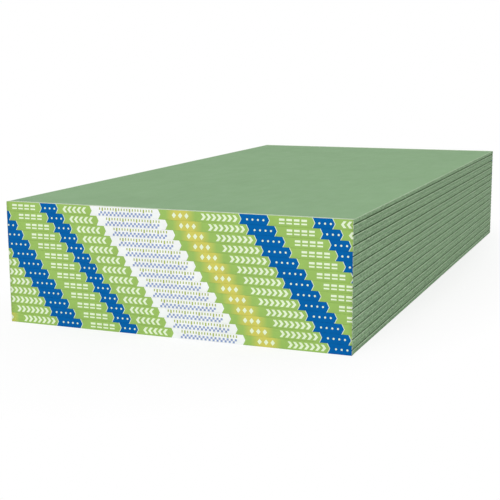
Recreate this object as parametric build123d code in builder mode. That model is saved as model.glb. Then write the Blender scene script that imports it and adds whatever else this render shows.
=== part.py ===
"""A squared stack of gypsum board, bundled in pairs.

Each board is 4 ft by 8 ft and 5/8 in thick. Its two long edges are wrapped in the face paper and
tapered on the face side. Two boards lie face to face, so their tapers meet in a shallow groove at
the middle of the pair, and a strip of paper end tape is folded over each cut end of the pair to
bind it. The pairs are stacked flush.

X runs across the boards, Y along them and Z up. The origin is at the middle of the underside.
All lengths are in millimetres.
"""

import os

from build123d import *

# The board
sheet_width = 1219.2
sheet_length = 2438.4
sheet_thickness = 15.875
taper_width = 60.0
taper_depth = 1.6
face_edge_radius = 3.0
back_edge_radius = 0.5

# The bundles
pair_count = 13
tape_thickness = 0.15
tape_lap = 19.0
tape_side_margin = 1.0

# Heights inside one pair, above the underside of its tape
lower_back = tape_thickness
face_joint = lower_back + sheet_thickness
upper_back = face_joint + sheet_thickness
pair_pitch = upper_back + tape_thickness

half_width = sheet_width / 2
half_length = sheet_length / 2
tape_width = sheet_width - 2 * tape_side_margin

os.makedirs("parts", exist_ok=True)


def board(label, back, face):
    """One board lying flat, with its back paper at the height back and its face at the height face."""
    inward = 1 if back > face else -1
    edge_face = face + inward * taper_depth
    shoulder = half_width - taper_width
    with BuildPart() as sheet:
        with BuildSketch(Plane.XZ):
            with BuildLine():
                FilletPolyline(
                    (-half_width, back),
                    (half_width, back),
                    (half_width, edge_face),
                    (shoulder, face),
                    (-shoulder, face),
                    (-half_width, edge_face),
                    radius=(back_edge_radius, back_edge_radius, face_edge_radius, 0, 0, face_edge_radius),
                    close=True,
                )
            make_face()
        extrude(amount=half_length, both=True)
    sheet.part.label = label
    export_step(sheet.part, f"parts/{label}.step")


def end_tape(label, side, base):
    """The strip folded over one end of a pair: side is -1 at the near end and 1 at the far end."""
    cut_end = side * half_length
    outside = cut_end + side * tape_thickness
    lap_edge = cut_end - side * tape_lap
    with BuildPart() as tape:
        with BuildSketch(Plane.YZ):
            with BuildLine():
                Polyline(
                    (lap_edge, base),
                    (outside, base),
                    (outside, base + pair_pitch),
                    (lap_edge, base + pair_pitch),
                    (lap_edge, base + upper_back),
                    (cut_end, base + upper_back),
                    (cut_end, base + lower_back),
                    (lap_edge, base + lower_back),
                    close=True,
                )
            make_face()
        extrude(amount=tape_width / 2, both=True)
    tape.part.label = label
    export_step(tape.part, f"parts/{label}.step")


for pair in range(pair_count):
    base = pair * pair_pitch
    board(f"sheet_{2 * pair + 1:02d}", base + lower_back, base + face_joint)
    board(f"sheet_{2 * pair + 2:02d}", base + upper_back, base + face_joint)
    end_tape(f"end_tape_near_{pair + 1:02d}", -1, base)
    end_tape(f"end_tape_far_{pair + 1:02d}", 1, base)
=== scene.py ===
"""Finishes a squared stack of gypsum boards, bundled in taped pairs, and sets it in a plain studio."""

import math

import bmesh
import bpy
from bpy.props import FloatProperty, FloatVectorProperty, PointerProperty
from mathutils import Matrix, Vector, noise


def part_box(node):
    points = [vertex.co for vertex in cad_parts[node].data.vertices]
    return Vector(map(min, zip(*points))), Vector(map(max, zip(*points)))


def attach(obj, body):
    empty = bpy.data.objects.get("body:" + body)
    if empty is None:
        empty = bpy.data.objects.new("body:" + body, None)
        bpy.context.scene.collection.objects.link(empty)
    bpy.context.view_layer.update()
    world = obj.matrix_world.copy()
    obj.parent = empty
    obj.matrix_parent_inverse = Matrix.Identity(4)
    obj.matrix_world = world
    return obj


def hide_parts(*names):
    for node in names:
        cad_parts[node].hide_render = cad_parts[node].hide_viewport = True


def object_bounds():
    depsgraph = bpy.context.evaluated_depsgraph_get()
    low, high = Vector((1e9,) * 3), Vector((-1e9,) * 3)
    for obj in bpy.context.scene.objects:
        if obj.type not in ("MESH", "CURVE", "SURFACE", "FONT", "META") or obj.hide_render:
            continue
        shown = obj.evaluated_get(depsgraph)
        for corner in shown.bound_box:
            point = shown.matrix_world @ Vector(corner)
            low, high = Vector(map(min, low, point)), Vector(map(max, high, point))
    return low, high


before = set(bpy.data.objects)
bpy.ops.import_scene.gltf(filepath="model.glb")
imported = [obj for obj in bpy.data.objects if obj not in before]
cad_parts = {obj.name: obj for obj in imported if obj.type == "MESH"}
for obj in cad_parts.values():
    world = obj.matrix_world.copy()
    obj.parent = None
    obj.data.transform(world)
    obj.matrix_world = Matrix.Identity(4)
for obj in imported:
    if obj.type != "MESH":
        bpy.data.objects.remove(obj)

bl_info = {
    "name": "Gypsum board stack",
    "version": (1, 0, 0),
    "blender": (4, 5, 0),
    "location": "3D View > Sidebar > Board Stack",
    "description": "Models the boards and end tapes of a stack, and lights it in a plain studio",
    "category": "Object",
}

MM = 0.001
SAME = 0.01 * MM  # points nearer than this lie in one plane
ARRIS_STEPS = 5
FOLD_STEPS = 3
EDGE_LOOPS = 3
LENGTH_LOOPS = 31
TAPE_COLUMNS, TAPE_ROWS = 60, 4
CAD_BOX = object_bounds()
BOARDS = sorted(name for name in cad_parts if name.startswith("sheet_"))
TAPES = sorted(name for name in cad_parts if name.startswith("end_tape_"))
HALF_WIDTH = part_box(BOARDS[0])[1].x
HALF_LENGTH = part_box(BOARDS[0])[1].y
PAIR_PITCH = 2 * CAD_BOX[1].z / len(BOARDS)

# The runs of the print, each with its middle and half-length along one repeat, in millimetres
OPEN_PANEL = (135.0, 125.0)
RULER = (135.0, 100.0)
CHEQUER = (133.0, 98.0)
LOZENGES = (330.0, 33.0)
ONWARD_CHEVRONS = (468.0, 63.0)
LONG_PANEL = (585.0, 46.0)
LONG_DOTS = (585.0, 36.0)
BARS = (708.0, 48.0)
SHORT_PANEL = (810.0, 31.0)
SHORT_DOTS = (810.0, 27.0)
BACKWARD_CHEVRONS = (900.0, 45.0)


def srgb(code):
    """A colour written #rrggbb in sRGB, as linear red, green, blue and a full alpha."""
    channels = [int(code[i:i + 2], 16) / 255 for i in (1, 3, 5)]
    return (*[c / 12.92 if c <= 0.04045 else ((c + 0.055) / 1.055) ** 2.4 for c in channels], 1.0)


class BoardSettings(bpy.types.PropertyGroup):
    """Sizes and colours of the paper-faced boards."""

    paper: FloatVectorProperty(
        name="Paper", description="Colour of the face and back paper",
        subtype="COLOR", size=4, min=0.0, max=1.0, default=srgb("#89AB82"),
    )
    handled: FloatVectorProperty(
        name="Handled paper", description="Colour of the paper along the long edges, which handling greys",
        subtype="COLOR", size=4, min=0.0, max=1.0, default=srgb("#85A47E"),
    )
    # Painted shade in the grooves between the boards of a pair.
    groove_shade: FloatVectorProperty(
        name="Groove shade", description="Colour of the shade painted into the grooves",
        subtype="COLOR", size=4, min=0.0, max=1.0, default=srgb("#548246"),
    )
    # Painted highlight on the up-facing arrises of the long edges.
    arris_highlight: FloatVectorProperty(
        name="Arris highlight", description="Colour painted on the up-facing arrises as a highlight",
        subtype="COLOR", size=4, min=0.0, max=1.0, default=srgb("#C8DDBE"),
    )
    core: FloatVectorProperty(
        name="Gypsum core", description="Colour of the cast core at a cut end",
        subtype="COLOR", size=4, min=0.0, max=1.0, default=srgb("#E4E2DA"),
    )
    taper_width: FloatProperty(
        name="Taper width", description="How far in from the long edge the face starts to fall",
        unit="LENGTH", min=0.0, default=60.0 * MM,
    )
    taper_depth: FloatProperty(
        name="Taper depth", description="How far the face has fallen at the long edge",
        unit="LENGTH", min=0.0, default=1.6 * MM,
    )
    face_radius: FloatProperty(
        name="Face arris", description="Radius of the paper where it turns off the face",
        unit="LENGTH", min=0.0, default=3.0 * MM,
    )
    back_radius: FloatProperty(
        name="Back arris", description="Radius of the paper where it turns onto the back",
        unit="LENGTH", min=0.0, default=0.5 * MM,
    )
    crown: FloatProperty(
        name="Crown", description="How far the long edge falls back, half a thickness from its crest",
        unit="LENGTH", min=0.0, default=1.1 * MM,
    )
    wander: FloatProperty(
        name="Wander", description="How far the wrapped long edge strays from a straight line",
        unit="LENGTH", min=0.0, default=0.4 * MM,
    )


class TapeSettings(bpy.types.PropertyGroup):
    """Sizes and inks of the printed paper folded over the cut ends."""

    paper: FloatVectorProperty(
        name="Tape paper", description="Colour of the unprinted paper",
        subtype="COLOR", size=4, min=0.0, max=1.0, default=srgb("#F6F9F8"),
    )
    lap: FloatVectorProperty(
        name="Lap", description="Colour of the unprinted laps, which the ground tints",
        subtype="COLOR", size=4, min=0.0, max=1.0, default=srgb("#DDEFD3"),
    )
    lime: FloatVectorProperty(
        name="Lime ink", description="Ink of the ground",
        subtype="COLOR", size=4, min=0.0, max=1.0, default=srgb("#9EC266"),
    )
    blue: FloatVectorProperty(
        name="Blue ink", description="Ink of the arrow panels",
        subtype="COLOR", size=4, min=0.0, max=1.0, default=srgb("#0062AB"),
    )
    gold: FloatVectorProperty(
        name="Gold ink", description="Ink that the ground fades to",
        subtype="COLOR", size=4, min=0.0, max=1.0, default=srgb("#D3CE64"),
    )
    olive: FloatVectorProperty(
        name="Olive ink", description="Ink of the plain ruler",
        subtype="COLOR", size=4, min=0.0, max=1.0, default=srgb("#A9B85C"),
    )
    lavender: FloatVectorProperty(
        name="Lavender ink", description="Ink of the chequer",
        subtype="COLOR", size=4, min=0.0, max=1.0, default=srgb("#8D9FCB"),
    )
    pale: FloatVectorProperty(
        name="Open marks", description="Colour of the marks that are left open in the ground",
        subtype="COLOR", size=4, min=0.0, max=1.0, default=srgb("#EBF8DA"),
    )
    fold_darkening: FloatProperty(
        name="Fold darkening", description="How much darker the print is at most towards a fold",
        min=0.0, max=1.0, default=0.16,
    )
    repeat: FloatProperty(
        name="Repeat", description="Length of the print before it starts again",
        unit="LENGTH", min=0.1, default=960.0 * MM,
    )
    stagger: FloatProperty(
        name="Stagger", description="How far the print moves on from one pair to the next",
        unit="LENGTH", default=24.0 * MM,
    )
    thickness: FloatProperty(
        name="Thickness", description="Thickness of the paper",
        unit="LENGTH", min=0.0, default=0.15 * MM,
    )
    fold_radius: FloatProperty(
        name="Fold radius", description="Radius of the paper where it turns onto the backs",
        unit="LENGTH", min=0.0, default=0.5 * MM,
    )
    ripple: FloatProperty(
        name="Ripple", description="How far the glued paper stands off the cut end at most",
        unit="LENGTH", min=0.0, default=0.35 * MM,
    )


class StudioSettings(bpy.types.PropertyGroup):
    """Camera and lights."""

    azimuth: FloatProperty(
        name="Camera azimuth", description="Turn of the view from straight along the boards",
        subtype="ANGLE", default=math.radians(22.112),
    )
    elevation: FloatProperty(
        name="Camera elevation", description="How far the camera looks down",
        subtype="ANGLE", default=math.radians(10.290),
    )
    roll: FloatProperty(
        name="Camera roll", description="Turn of the picture about the line of sight",
        subtype="ANGLE", default=math.radians(-0.337),
    )
    place: FloatVectorProperty(
        name="Camera place", description="Where the camera stands",
        subtype="XYZ", unit="LENGTH", default=(1.5048, -4.2382, 0.8969),
    )
    lens: FloatProperty(
        name="Lens", description="Focal length on a sensor 36 mm wide",
        subtype="DISTANCE_CAMERA", min=1.0, default=77.191,
    )
    key: FloatProperty(
        name="Key light", description="Power of the soft lamp in front of the near end",
        unit="POWER", min=0.0, default=2250.0,
    )
    lamp_side: FloatProperty(
        name="Lamp side", description="Side of the square soft lamp",
        unit="LENGTH", min=0.1, default=12.0,
    )
    lamp_distance: FloatProperty(
        name="Lamp distance", description="How far the soft lamp stands from the stack",
        unit="LENGTH", min=1.0, default=24.0,
    )
    lamp_direction: FloatVectorProperty(
        name="Lamp direction", description="The way from the stack to the soft lamp",
        subtype="XYZ", default=(0.06, -0.62, 0.78),
    )
    ambient: FloatProperty(
        name="Ambient", description="Strength of the even light from all round", min=0.0, default=0.6
    )


def add(tree, kind, inputs=None, **settings):
    """Adds a node with its settings: each input is a value, or a socket or node that is linked to it."""
    node = tree.nodes.new(kind)
    for name, value in settings.items():
        setattr(node, name, value)
    for key, value in (inputs or {}).items():
        if isinstance(value, bpy.types.Node):
            value = next(socket for socket in value.outputs if socket.enabled)
        if isinstance(value, bpy.types.NodeSocket):
            tree.links.new(value, node.inputs[key])
        else:
            node.inputs[key].default_value = value
    return node


def empty_material(name):
    """A material with no nodes yet."""
    material = bpy.data.materials.new(name)
    material.use_nodes = True
    material.node_tree.nodes.clear()
    return material


def mottle(tree, place, grain, low, high, stretch=(1.0, 1.0, 1.0)):
    """Cloudy patches, grain millimetres across before they are stretched, between the values low and high."""
    scale = [1 / (grain * MM * pull) for pull in stretch]
    spread = add(tree, "ShaderNodeMapping", {"Vector": place, "Scale": scale})
    cloud = add(tree, "ShaderNodeTexNoise", {"Vector": spread, "Scale": 1.0, "Detail": 4.0})
    limits = {"Value": cloud, "From Min": 0.3, "From Max": 0.7, "To Min": low, "To Max": high}
    return add(tree, "ShaderNodeMapRange", limits)


def cover(tree, under, over, *bands):
    """The colour over on the colour under, inside every band: a distance, its middle and its half-width."""
    inside = 1.0
    for distance, middle, half in bands:
        band = add(tree, "ShaderNodeMath", {0: distance, 1: middle, 2: half}, operation="COMPARE")
        inside = add(tree, "ShaderNodeMath", {0: inside, 1: band}, operation="MULTIPLY")
    return add(tree, "ShaderNodeMix", {0: inside, 6: under, 7: over}, data_type="RGBA")


def board_paper(settings):
    """Recycled face paper, calendered smooth on the flats and folded round the long edges.

    The flats are dull and even. The long edges are mottled where the paper is creased, the grooves carry
    painted shade, and the up-facing arrises a painted highlight. The cast gypsum shows only at a cut end,
    where it is off-white and chalky.
    """
    material = empty_material("green_face_paper")
    tree = material.node_tree
    coordinates = add(tree, "ShaderNodeTexCoord")
    place = coordinates.outputs["Object"]
    xyz = add(tree, "ShaderNodeSeparateXYZ", {0: place})
    normal = add(tree, "ShaderNodeSeparateXYZ", {0: coordinates.outputs["Normal"]})
    sideways = add(tree, "ShaderNodeMath", {0: normal.outputs["X"]}, operation="ABSOLUTE")
    across = add(tree, "ShaderNodeMath", {0: xyz.outputs["X"]}, operation="ABSOLUTE")
    lengthways = add(tree, "ShaderNodeMath", {0: xyz.outputs["Y"]}, operation="ABSOLUTE")

    # Each board's paper comes from its own roll. It is a little uneven over a hand's breadth, is streaked
    # the way that it ran through the machine, and has flecks of recycled fibre.
    level = add(tree, "ShaderNodeMath", {0: xyz.outputs["Z"], 1: 2 / PAIR_PITCH}, operation="MULTIPLY")
    number = add(tree, "ShaderNodeMath", {0: level}, operation="FLOOR")
    roll = add(tree, "ShaderNodeTexWhiteNoise", {"W": number}, noise_dimensions="1D")
    batch = add(tree, "ShaderNodeMapRange", {"Value": roll.outputs["Value"], "To Min": 0.97, "To Max": 1.03})
    tone = batch
    cloudy, streaked, flecked = (180.0, 0.97, 1.02, 1.0), (12.0, 0.985, 1.015, 15.0), (1.4, 0.95, 1.04, 2.0)
    for grain, low, high, pull in (cloudy, streaked, flecked):
        uneven = mottle(tree, place, grain, low, high, stretch=(1.0, pull, 1.0))
        tone = add(tree, "ShaderNodeMath", {0: tone, 1: uneven}, operation="MULTIPLY")

    # The creases are finer than a pixel of the picture, so they are drawn as coarse as they need to show.
    crease = mottle(tree, place, 8.0, 0.6, 1.34, stretch=(1.0, 2.2, 0.7))
    on_edge = add(tree, "ShaderNodeMapRange", {"Value": sideways, "From Min": 0.6, "From Max": 0.95})
    edge_tone = add(tree, "ShaderNodeMix", {0: on_edge, 2: 1.0, 3: crease}, data_type="FLOAT")
    tone = add(tree, "ShaderNodeMath", {0: tone, 1: edge_tone}, operation="MULTIPLY")
    furnish = {0: on_edge, 6: settings.paper, 7: settings.handled}
    paper = add(tree, "ShaderNodeMix", furnish, data_type="RGBA")
    paper = add(tree, "ShaderNodeVectorMath", {0: paper, "Scale": tone}, operation="SCALE")

    # Painted shade: the groove where the tapers of a pair meet, and a little past its lips, is painted
    # darker.
    height = add(tree, "ShaderNodeMath", {0: xyz.outputs["Z"], 1: PAIR_PITCH, 2: 0.0}, operation="WRAP")
    half_groove = settings.taper_depth + 0.6 * MM
    paper = cover(tree, paper, settings.groove_shade, (height, PAIR_PITCH / 2, half_groove))

    # Painted highlight: the up-facing arrises of the long edges are painted paler, in broken patches.
    upper = {"Value": normal.outputs["Z"], "From Min": 0.18, "From Max": 0.45}
    near_edge = {"Value": across, "From Min": HALF_WIDTH - 4 * MM, "From Max": HALF_WIDTH - 2.5 * MM}
    facing = add(tree, "ShaderNodeMapRange", upper)
    rim = add(tree, "ShaderNodeMapRange", near_edge)
    highlight_mottle = mottle(tree, place, 9.0, 0.4, 1.0, stretch=(1.0, 3.0, 1.0))
    arris = add(tree, "ShaderNodeMath", {0: facing, 1: rim}, operation="MULTIPLY")
    arris_highlight = add(tree, "ShaderNodeMath", {0: arris, 1: highlight_mottle}, operation="MULTIPLY")
    paper = add(tree, "ShaderNodeMix", {0: arris_highlight, 6: paper, 7: settings.arris_highlight}, data_type="RGBA")
    paper = cover(tree, paper, settings.core, (lengthways, HALF_LENGTH, 0.2 * MM))

    fibre = mottle(tree, place, 1.6, 0.0, 1.0, stretch=(1.0, 3.0, 1.0))
    felt = add(tree, "ShaderNodeBump", {"Strength": 0.35, "Distance": 0.4 * MM, "Height": fibre})
    depth = add(tree, "ShaderNodeMath", {0: on_edge, 1: 0.5}, operation="MULTIPLY")
    creased = {"Strength": depth, "Distance": 1.5 * MM, "Height": crease, "Normal": felt}
    relief = add(tree, "ShaderNodeBump", creased)
    polish = mottle(tree, place, 45.0, 0.76, 0.92, stretch=(1.0, 2.0, 1.0))
    surface = {"Base Color": paper, "Roughness": polish, "Specular IOR Level": 0.25, "Normal": relief}
    shader = add(tree, "ShaderNodeBsdfPrincipled", surface)
    add(tree, "ShaderNodeOutputMaterial", {"Surface": shader})
    return material


def tape_print(tree, settings, along, across):
    """The print at a place on the strip, in millimetres: along one repeat, and up from its middle."""
    out = add(tree, "ShaderNodeMath", {0: across}, operation="ABSOLUTE")
    arrow = add(tree, "ShaderNodeMath", {0: out, 1: 0.5, 2: along}, operation="MULTIPLY_ADD")

    # The lime ground fades to gold round a run of open lozenges.
    from_gold = add(tree, "ShaderNodeMath", {0: along, 1: LOZENGES[0]}, operation="SUBTRACT")
    off_gold = add(tree, "ShaderNodeMath", {0: from_gold}, operation="ABSOLUTE")
    fade = add(tree, "ShaderNodeMapRange", {"Value": off_gold, "From Min": 52.0, "From Max": 18.0})
    ink = add(tree, "ShaderNodeMix", {0: fade, 6: settings.lime, 7: settings.gold}, data_type="RGBA")
    spacing, reach = 22.0, 7.5
    cell = add(tree, "ShaderNodeMath", {0: from_gold, 1: spacing / 2, 2: -spacing / 2}, operation="WRAP")
    off_cell = add(tree, "ShaderNodeMath", {0: cell}, operation="ABSOLUTE")
    lozenge = add(tree, "ShaderNodeMath", {0: out, 1: 0.8, 2: off_cell}, operation="MULTIPLY_ADD")
    ink = cover(tree, ink, settings.pale, (lozenge, 0.0, reach), (along, *LOZENGES))

    # Two runs of open chevrons point towards each other, with a broken double line between them.
    spacing, half_stroke, half_height = 18.0, 4.6, 10.5
    for run, slope in ((ONWARD_CHEVRONS, 0.8), (BACKWARD_CHEVRONS, -0.8)):
        slant = add(tree, "ShaderNodeMath", {0: out, 1: slope, 2: along}, operation="MULTIPLY_ADD")
        cell = add(tree, "ShaderNodeMath", {0: slant, 1: spacing / 2, 2: -spacing / 2}, operation="WRAP")
        chevrons = (cell, 0.0, half_stroke), (slant, *run), (across, 0.0, half_height)
        ink = cover(tree, ink, settings.pale, *chevrons)
    spacing, half_length = 24.0, 9.0
    cell = add(tree, "ShaderNodeMath", {0: along, 1: spacing / 2, 2: -spacing / 2}, operation="WRAP")
    for height, half in ((5.0, 3.4), (-6.0, 2.4)):
        bars = (cell, 0.0, half_length), (across, height, half), (along, *BARS)
        ink = cover(tree, ink, settings.pale, *bars)

    # Each blue panel is a blunt arrow with an open line at both ends and a row of dots.
    spacing, radius, line = 18.0, 3.2, 2.0
    cell = add(tree, "ShaderNodeMath", {0: along, 1: spacing / 2, 2: -spacing / 2}, operation="WRAP")
    spot = add(tree, "ShaderNodeCombineXYZ", {0: cell, 1: across})
    from_dot = add(tree, "ShaderNodeVectorMath", {0: spot}, operation="LENGTH")
    for (middle, half), dots in ((LONG_PANEL, LONG_DOTS), (SHORT_PANEL, SHORT_DOTS)):
        ink = cover(tree, ink, settings.pale, (arrow, middle, half + line))
        ink = cover(tree, ink, settings.blue, (arrow, middle, half))
        ink = cover(tree, ink, settings.pale, (from_dot, 0.0, radius), (along, *dots))

    # The open panel has a plain ruler along its upper side, with a longer mark at every fifth place, and a
    # chequer along its lower side.
    ink = cover(tree, ink, settings.paper, (arrow, *OPEN_PANEL))
    for spacing, half, height, reach in ((10.0, 2.0, 8.5, 4.0), (50.0, 2.6, 7.0, 5.5)):
        cell = add(tree, "ShaderNodeMath", {0: along, 1: spacing / 2, 2: -spacing / 2}, operation="WRAP")
        ink = cover(tree, ink, settings.olive, (cell, 0.0, half), (across, height, reach), (along, *RULER))
    square = 7.0
    spot = add(tree, "ShaderNodeCombineXYZ", {0: along, 1: across, 2: 1.0})
    squares = add(tree, "ShaderNodeTexChecker", {"Vector": spot, "Scale": 1 / square})
    printed = (squares.outputs["Fac"], 1.0, 0.5)
    return cover(tree, ink, settings.lavender, printed, (across, -square, square), (along, *CHEQUER))


def printed_tape(settings):
    """Thin bleached kraft paper, flexo printed and glued flat.

    The inks are flat and take the paper's low sheen. They run a little over the folds; from just short of
    each fold the print is mottled darker, and the laps are left open.
    """
    material = empty_material("printed_kraft_tape")
    tree = material.node_tree
    strip = add(tree, "ShaderNodeUVMap", uv_map="strip")
    in_mm = add(tree, "ShaderNodeMapping", {"Vector": strip, "Scale": (1 / MM, 1 / MM, 1.0)})
    xy = add(tree, "ShaderNodeSeparateXYZ", {0: in_mm})
    across = xy.outputs["Y"]
    one_repeat = {0: xy.outputs["X"], 1: settings.repeat / MM, 2: 0.0}
    along = add(tree, "ShaderNodeMath", one_repeat, operation="WRAP")
    ink = tape_print(tree, settings, along, across)

    place = add(tree, "ShaderNodeTexCoord").outputs["Object"]
    fold = PAIR_PITCH / MM / 2
    out = add(tree, "ShaderNodeMath", {0: across}, operation="ABSOLUTE")
    # The print is mottled darker from just short of each fold, over the fold and the laps.
    by_fold = add(tree, "ShaderNodeMapRange", {"Value": out, "From Min": fold - 1.6, "From Max": fold - 0.4})
    fold_mottle = mottle(tree, place, 7.0, 0.0, settings.fold_darkening)
    darkened = add(tree, "ShaderNodeMath", {0: by_fold, 1: fold_mottle}, operation="MULTIPLY")
    density = mottle(tree, place, 40.0, 0.96, 1.03)
    tone = add(tree, "ShaderNodeMath", {0: density, 1: darkened}, operation="SUBTRACT")
    open_lap = (out, fold + 22.0, 20.0)
    ink = cover(tree, ink, settings.lap, open_lap)
    ink = add(tree, "ShaderNodeVectorMath", {0: ink, "Scale": tone}, operation="SCALE")

    fibre = mottle(tree, place, 1.5, 0.0, 1.0, stretch=(3.0, 1.0, 1.0))
    felt = add(tree, "ShaderNodeBump", {"Strength": 0.3, "Distance": 0.3 * MM, "Height": fibre})
    wrinkle = mottle(tree, place, 9.0, 0.0, 1.0, stretch=(1.0, 1.0, 3.0))
    wrinkled = {"Strength": 0.3, "Distance": 0.5 * MM, "Height": wrinkle, "Normal": felt}
    relief = add(tree, "ShaderNodeBump", wrinkled)
    polish = mottle(tree, place, 20.0, 0.55, 0.75)
    surface = {"Base Color": ink, "Roughness": polish, "Specular IOR Level": 0.05, "Normal": relief}
    shader = add(tree, "ShaderNodeBsdfPrincipled", surface)
    add(tree, "ShaderNodeOutputMaterial", {"Surface": shader})
    return material


def finish_piece(bm, node, material):
    """Turns bm into the visible piece that stands for a node of the frame."""
    mesh = bpy.data.meshes.new(node + "_finished")
    bm.to_mesh(mesh)
    bm.free()
    mesh.materials.append(material)
    piece = bpy.data.objects.new(node + "_finished", mesh)
    bpy.context.scene.collection.objects.link(piece)
    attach(piece, "root")
    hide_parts(node)


def board_mesh(low, high, face_up, settings, end_radius, seed):
    """A board between two corners, whose face, tapered along both long edges, is on top if face_up."""
    bm = bmesh.new()
    place = Matrix.LocRotScale((low + high) / 2, None, high - low)
    bmesh.ops.create_cube(bm, size=1.0, matrix=place)
    for shoulder in (settings.taper_width - HALF_WIDTH, HALF_WIDTH - settings.taper_width):
        everything = bm.verts[:] + bm.edges[:] + bm.faces[:]
        bmesh.ops.bisect_plane(bm, geom=everything, plane_co=(shoulder, 0, 0), plane_no=(1, 0, 0))

    face_height = high.z if face_up else low.z
    fall = -settings.taper_depth if face_up else settings.taper_depth
    lips = [v for v in bm.verts if abs(v.co.x) > HALF_WIDTH - SAME and abs(v.co.z - face_height) < SAME]
    bmesh.ops.translate(bm, verts=lips, vec=(0, 0, fall))

    lip_height = face_height + fall
    for on_lip, radius in ((True, settings.face_radius), (False, settings.back_radius)):
        arrises = [
            e for e in bm.edges
            if e.calc_length() > HALF_LENGTH
            and all(abs(v.co.x) > HALF_WIDTH - SAME for v in e.verts)
            and (abs(e.verts[0].co.z - lip_height) < SAME) == on_lip
        ]
        bmesh.ops.bevel(
            bm, geom=arrises, offset=radius, segments=ARRIS_STEPS, profile=0.5, affect="EDGES", material=-1
        )

    # The wrapped edges are a little crowned, with the crest just to the face side of their middle, and loops
    # along the length let them wander.
    uprights = [
        e for e in bm.edges
        if e.calc_length() > settings.face_radius and all(abs(v.co.x) > HALF_WIDTH - SAME for v in e.verts)
        and e.calc_length() < HALF_LENGTH
    ]
    bmesh.ops.subdivide_edges(bm, edges=uprights, cuts=EDGE_LOOPS, use_grid_fill=True)
    lengthways = [e for e in bm.edges if abs(e.verts[0].co.y - e.verts[1].co.y) > HALF_LENGTH]
    bmesh.ops.subdivide_edges(bm, edges=lengthways, cuts=LENGTH_LOOPS, use_grid_fill=True)
    crest, half = (low.z + high.z - fall) / 2, (high.z - low.z) / 2
    for v in bm.verts:
        if abs(v.co.x) > HALF_WIDTH - 2 * settings.face_radius:
            fall_back = settings.crown * ((v.co.z - crest) / half) ** 2
            sway = settings.wander * abs(noise.noise(Vector((v.co.x, 3 * v.co.y, 7.3 * seed))))
            v.co.x -= math.copysign(fall_back + sway, v.co.x)

    # The tape has pressed the arris of each cut end round where it is folded over the back.
    back_height = low.z if face_up else high.z
    pressed = [
        e for e in bm.edges
        if all(abs(v.co.y) > HALF_LENGTH - SAME and abs(v.co.z - back_height) < settings.back_radius + SAME
               for v in e.verts)
    ]
    bmesh.ops.bevel(
        bm, geom=pressed, offset=end_radius, segments=FOLD_STEPS, profile=0.5, affect="EDGES", material=-1
    )
    for face in bm.faces:
        face.smooth = abs(face.normal.x) > 0.1
    bmesh.ops.recalc_face_normals(bm, faces=bm.faces[:])
    return bm


def tape_mesh(low, high, settings, phase, seed):
    """The strip between two corners, folded over a cut end, with its laps on the two backs."""
    inward = 1 if low.y < 0 else -1
    outside, lap_edge = (low.y, high.y) if low.y < 0 else (high.y, low.y)
    centre = Vector((0, outside, (low.z + high.z) / 2))
    bm = bmesh.new()
    upright = Matrix.Rotation(math.pi / 2, 4, "X")
    shape = Matrix.LocRotScale(centre, None, Vector((high.x - low.x, 1, high.z - low.z)))
    bmesh.ops.create_grid(
        bm, x_segments=TAPE_COLUMNS, y_segments=TAPE_ROWS, size=0.5, matrix=shape @ upright
    )

    folds = [e for e in bm.edges if all(abs(abs(v.co.z - centre.z) - PAIR_PITCH / 2) < SAME for v in e.verts)]
    laps = bmesh.ops.extrude_edge_only(bm, edges=folds)["geom"]
    lap_verts = [v for v in laps if isinstance(v, bmesh.types.BMVert)]
    bmesh.ops.translate(bm, verts=lap_verts, vec=(0, lap_edge - outside, 0))

    # The glued paper stands a little off the cut end between its folds.
    for v in bm.verts:
        if abs(v.co.y - outside) < SAME:
            rise = math.sin(math.pi * (v.co.z - low.z) / (high.z - low.z))
            swell = 0.5 + 0.5 * noise.noise(Vector((9 * v.co.x, 20 * v.co.z, 3.1 * seed)))
            v.co.y -= inward * rise * swell * settings.ripple
    folds = [
        e for e in bm.edges
        if all(abs(v.co.y - outside) < SAME and abs(abs(v.co.z - centre.z) - PAIR_PITCH / 2) < SAME
               for v in e.verts)
    ]
    bmesh.ops.bevel(
        bm, geom=folds, offset=settings.fold_radius, segments=FOLD_STEPS, profile=0.5, affect="EDGES",
        material=-1,
    )

    strip = bm.loops.layers.uv.new("strip")
    for face in bm.faces:
        face.smooth = True
        for loop in face.loops:
            spot = loop.vert.co - centre
            inset = max(0.0, spot.y * inward)
            loop[strip].uv = (spot.x * inward + phase, spot.z + math.copysign(inset, spot.z))
    bmesh.ops.recalc_face_normals(bm, faces=bm.faces[:])
    bmesh.ops.solidify(bm, geom=bm.faces[:], thickness=settings.thickness)
    return bm


class BOARDSTACK_OT_boards(bpy.types.Operator):
    """Model every board with its wrapped, tapered long edges, and give it its paper"""

    bl_idname = "board_stack.boards"
    bl_label = "Boards"

    def execute(self, context):
        settings, tape = context.scene.board_settings, context.scene.tape_settings
        paper = board_paper(settings)
        end_radius = tape.fold_radius - tape.thickness
        for number, node in enumerate(BOARDS):
            low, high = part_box(node)
            bm = board_mesh(low, high, number % 2 == 0, settings, end_radius, number)
            finish_piece(bm, node, paper)
        return {"FINISHED"}


class BOARDSTACK_OT_end_tapes(bpy.types.Operator):
    """Model the printed strips that are folded over both ends of every pair"""

    bl_idname = "board_stack.end_tapes"
    bl_label = "End tapes"

    def execute(self, context):
        settings = context.scene.tape_settings
        printed = printed_tape(settings)
        for seed, node in enumerate(TAPES):
            low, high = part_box(node)
            row = round(low.z / PAIR_PITCH)
            slip = 6 * MM * noise.noise(Vector((0.5, 0.5, 1.7 * seed)))
            bm = tape_mesh(low, high, settings, row * settings.stagger + slip, seed)
            finish_piece(bm, node, printed)
        return {"FINISHED"}


class BOARDSTACK_OT_studio(bpy.types.Operator):
    """Set up the floor, the soft light and the camera"""

    bl_idname = "board_stack.studio"
    bl_label = "Studio"

    def execute(self, context):
        settings = context.scene.studio_settings
        context.scene.view_settings.view_transform = "Standard"
        make_floor()
        make_lights(settings)
        make_camera(settings)
        return {"FINISHED"}


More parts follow.
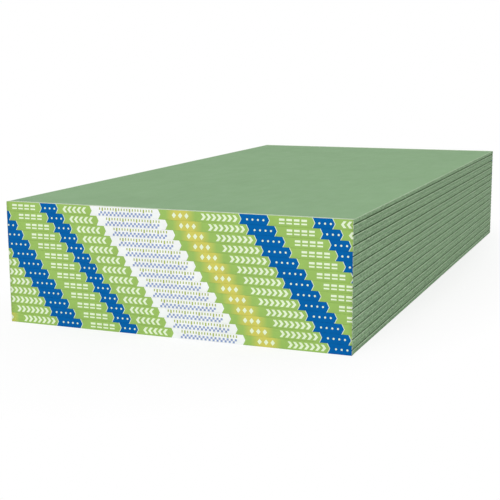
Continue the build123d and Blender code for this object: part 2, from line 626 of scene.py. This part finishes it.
def backdrop_share(tree):
    """1 for rays from the camera and for those that show the backdrop in a gloss or through glass."""
    ray = add(tree, "ShaderNodeLightPath").outputs
    share = ray["Is Camera Ray"]
    for other in (ray["Is Glossy Ray"], ray["Is Transmission Ray"]):
        share = add(tree, "ShaderNodeMath", {0: share, 1: other}, operation="MAXIMUM")
    return share


def make_floor():
    """A white seamless floor, which keeps a faint shadow of the stack."""
    bm = bmesh.new()
    half_side = 30.0
    bmesh.ops.create_grid(bm, x_segments=1, y_segments=1, size=half_side)
    mesh = bpy.data.meshes.new("studio_floor")
    bm.to_mesh(mesh)
    bm.free()
    floor = bpy.data.objects.new("studio_floor", mesh)
    bpy.context.scene.collection.objects.link(floor)
    material = empty_material("white_seamless_paper")
    tree = material.node_tree
    lit = add(tree, "ShaderNodeBsdfDiffuse", {"Color": srgb("#FAFAFA")})
    bright = add(tree, "ShaderNodeEmission", {"Color": srgb("#FFFFFF"), "Strength": 1.0})

    # Seen by the camera, the paper is as bright as the backdrop, except that the shadow shows round the
    # stack, out to shadow_end times its half-width and half-length.
    shadow_full, shadow_end, shadow_share = 1.1, 1.7, 0.25
    place = add(tree, "ShaderNodeTexCoord").outputs["Object"]
    footprints = {"Vector": place, "Scale": (1 / HALF_WIDTH, 1 / HALF_LENGTH, 1.0)}
    outward = add(tree, "ShaderNodeMapping", footprints)
    reach = add(tree, "ShaderNodeVectorMath", {0: outward}, operation="LENGTH")
    open_floor = {"Value": reach, "From Min": shadow_full, "From Max": shadow_end, "To Min": 1 - shadow_share}
    clear = add(tree, "ShaderNodeMapRange", open_floor)
    share = add(tree, "ShaderNodeMath", {0: backdrop_share(tree), 1: clear}, operation="MULTIPLY")
    mixed = add(tree, "ShaderNodeMixShader", {0: share, 1: lit, 2: bright})
    add(tree, "ShaderNodeOutputMaterial", {"Surface": mixed})
    mesh.materials.append(material)


def make_lights(settings):
    """An even white surround, and one large soft lamp, high up in front of the near end."""
    world = bpy.data.worlds.new("studio_surround")
    world.use_nodes = True
    tree = world.node_tree
    tree.nodes.clear()
    levels = {0: backdrop_share(tree), 2: settings.ambient, 3: 1.0}
    strength = add(tree, "ShaderNodeMix", levels, data_type="FLOAT")
    surround = add(tree, "ShaderNodeBackground", {"Color": srgb("#FFFFFF"), "Strength": strength})
    add(tree, "ShaderNodeOutputWorld", {"Surface": surround})
    bpy.context.scene.world = world

    lamp = bpy.data.lights.new("key_softbox", "AREA")
    lamp.shape = "SQUARE"
    lamp.size = settings.lamp_side
    lamp.energy = settings.key
    key = bpy.data.objects.new("key_softbox", lamp)
    aim = Vector(settings.lamp_direction).normalized()
    key.matrix_world = Matrix.LocRotScale(settings.lamp_distance * aim, aim.to_track_quat("Z", "Y"), None)
    bpy.context.scene.collection.objects.link(key)


def make_camera(settings):
    """The camera at the photograph's angle, without shift or depth of field."""
    data = bpy.data.cameras.new("camera")
    data.sensor_fit = "HORIZONTAL"
    data.sensor_width = 36.0
    data.lens = settings.lens
    back = Vector((
        math.sin(settings.azimuth) * math.cos(settings.elevation),
        -math.cos(settings.azimuth) * math.cos(settings.elevation),
        math.sin(settings.elevation),
    ))
    rolled = back.to_track_quat("Z", "Y") @ Matrix.Rotation(settings.roll, 3, "Z").to_quaternion()
    camera = bpy.data.objects.new("camera", data)
    camera.matrix_world = Matrix.LocRotScale(Vector(settings.place), rolled, None)
    bpy.context.scene.collection.objects.link(camera)
    bpy.context.scene.camera = camera


class BOARDSTACK_PT_panel(bpy.types.Panel):
    """Lists the pieces of the stack with their settings"""

    bl_idname = "BOARDSTACK_PT_panel"
    bl_label = "Board Stack"
    bl_space_type = "VIEW_3D"
    bl_region_type = "UI"
    bl_category = "Board Stack"

    def draw(self, context):
        scene = context.scene
        for operator, settings in (
            (BOARDSTACK_OT_boards, scene.board_settings),
            (BOARDSTACK_OT_end_tapes, scene.tape_settings),
            (BOARDSTACK_OT_studio, scene.studio_settings),
        ):
            box = self.layout.box()
            box.operator(operator.bl_idname)
            for name in settings.__annotations__:
                box.prop(settings, name)


CLASSES = (
    BoardSettings,
    TapeSettings,
    StudioSettings,
    BOARDSTACK_OT_boards,
    BOARDSTACK_OT_end_tapes,
    BOARDSTACK_OT_studio,
    BOARDSTACK_PT_panel,
)


def register():
    for cls in CLASSES:
        bpy.utils.register_class(cls)
    bpy.types.Scene.board_settings = PointerProperty(type=BoardSettings)
    bpy.types.Scene.tape_settings = PointerProperty(type=TapeSettings)
    bpy.types.Scene.studio_settings = PointerProperty(type=StudioSettings)


def unregister():
    del bpy.types.Scene.studio_settings
    del bpy.types.Scene.tape_settings
    del bpy.types.Scene.board_settings
    for cls in reversed(CLASSES):
        bpy.utils.unregister_class(cls)


def main():
    register()
    bpy.ops.board_stack.boards()
    bpy.ops.board_stack.end_tapes()
    bpy.ops.board_stack.studio()


if __name__ == "__main__":
    main()
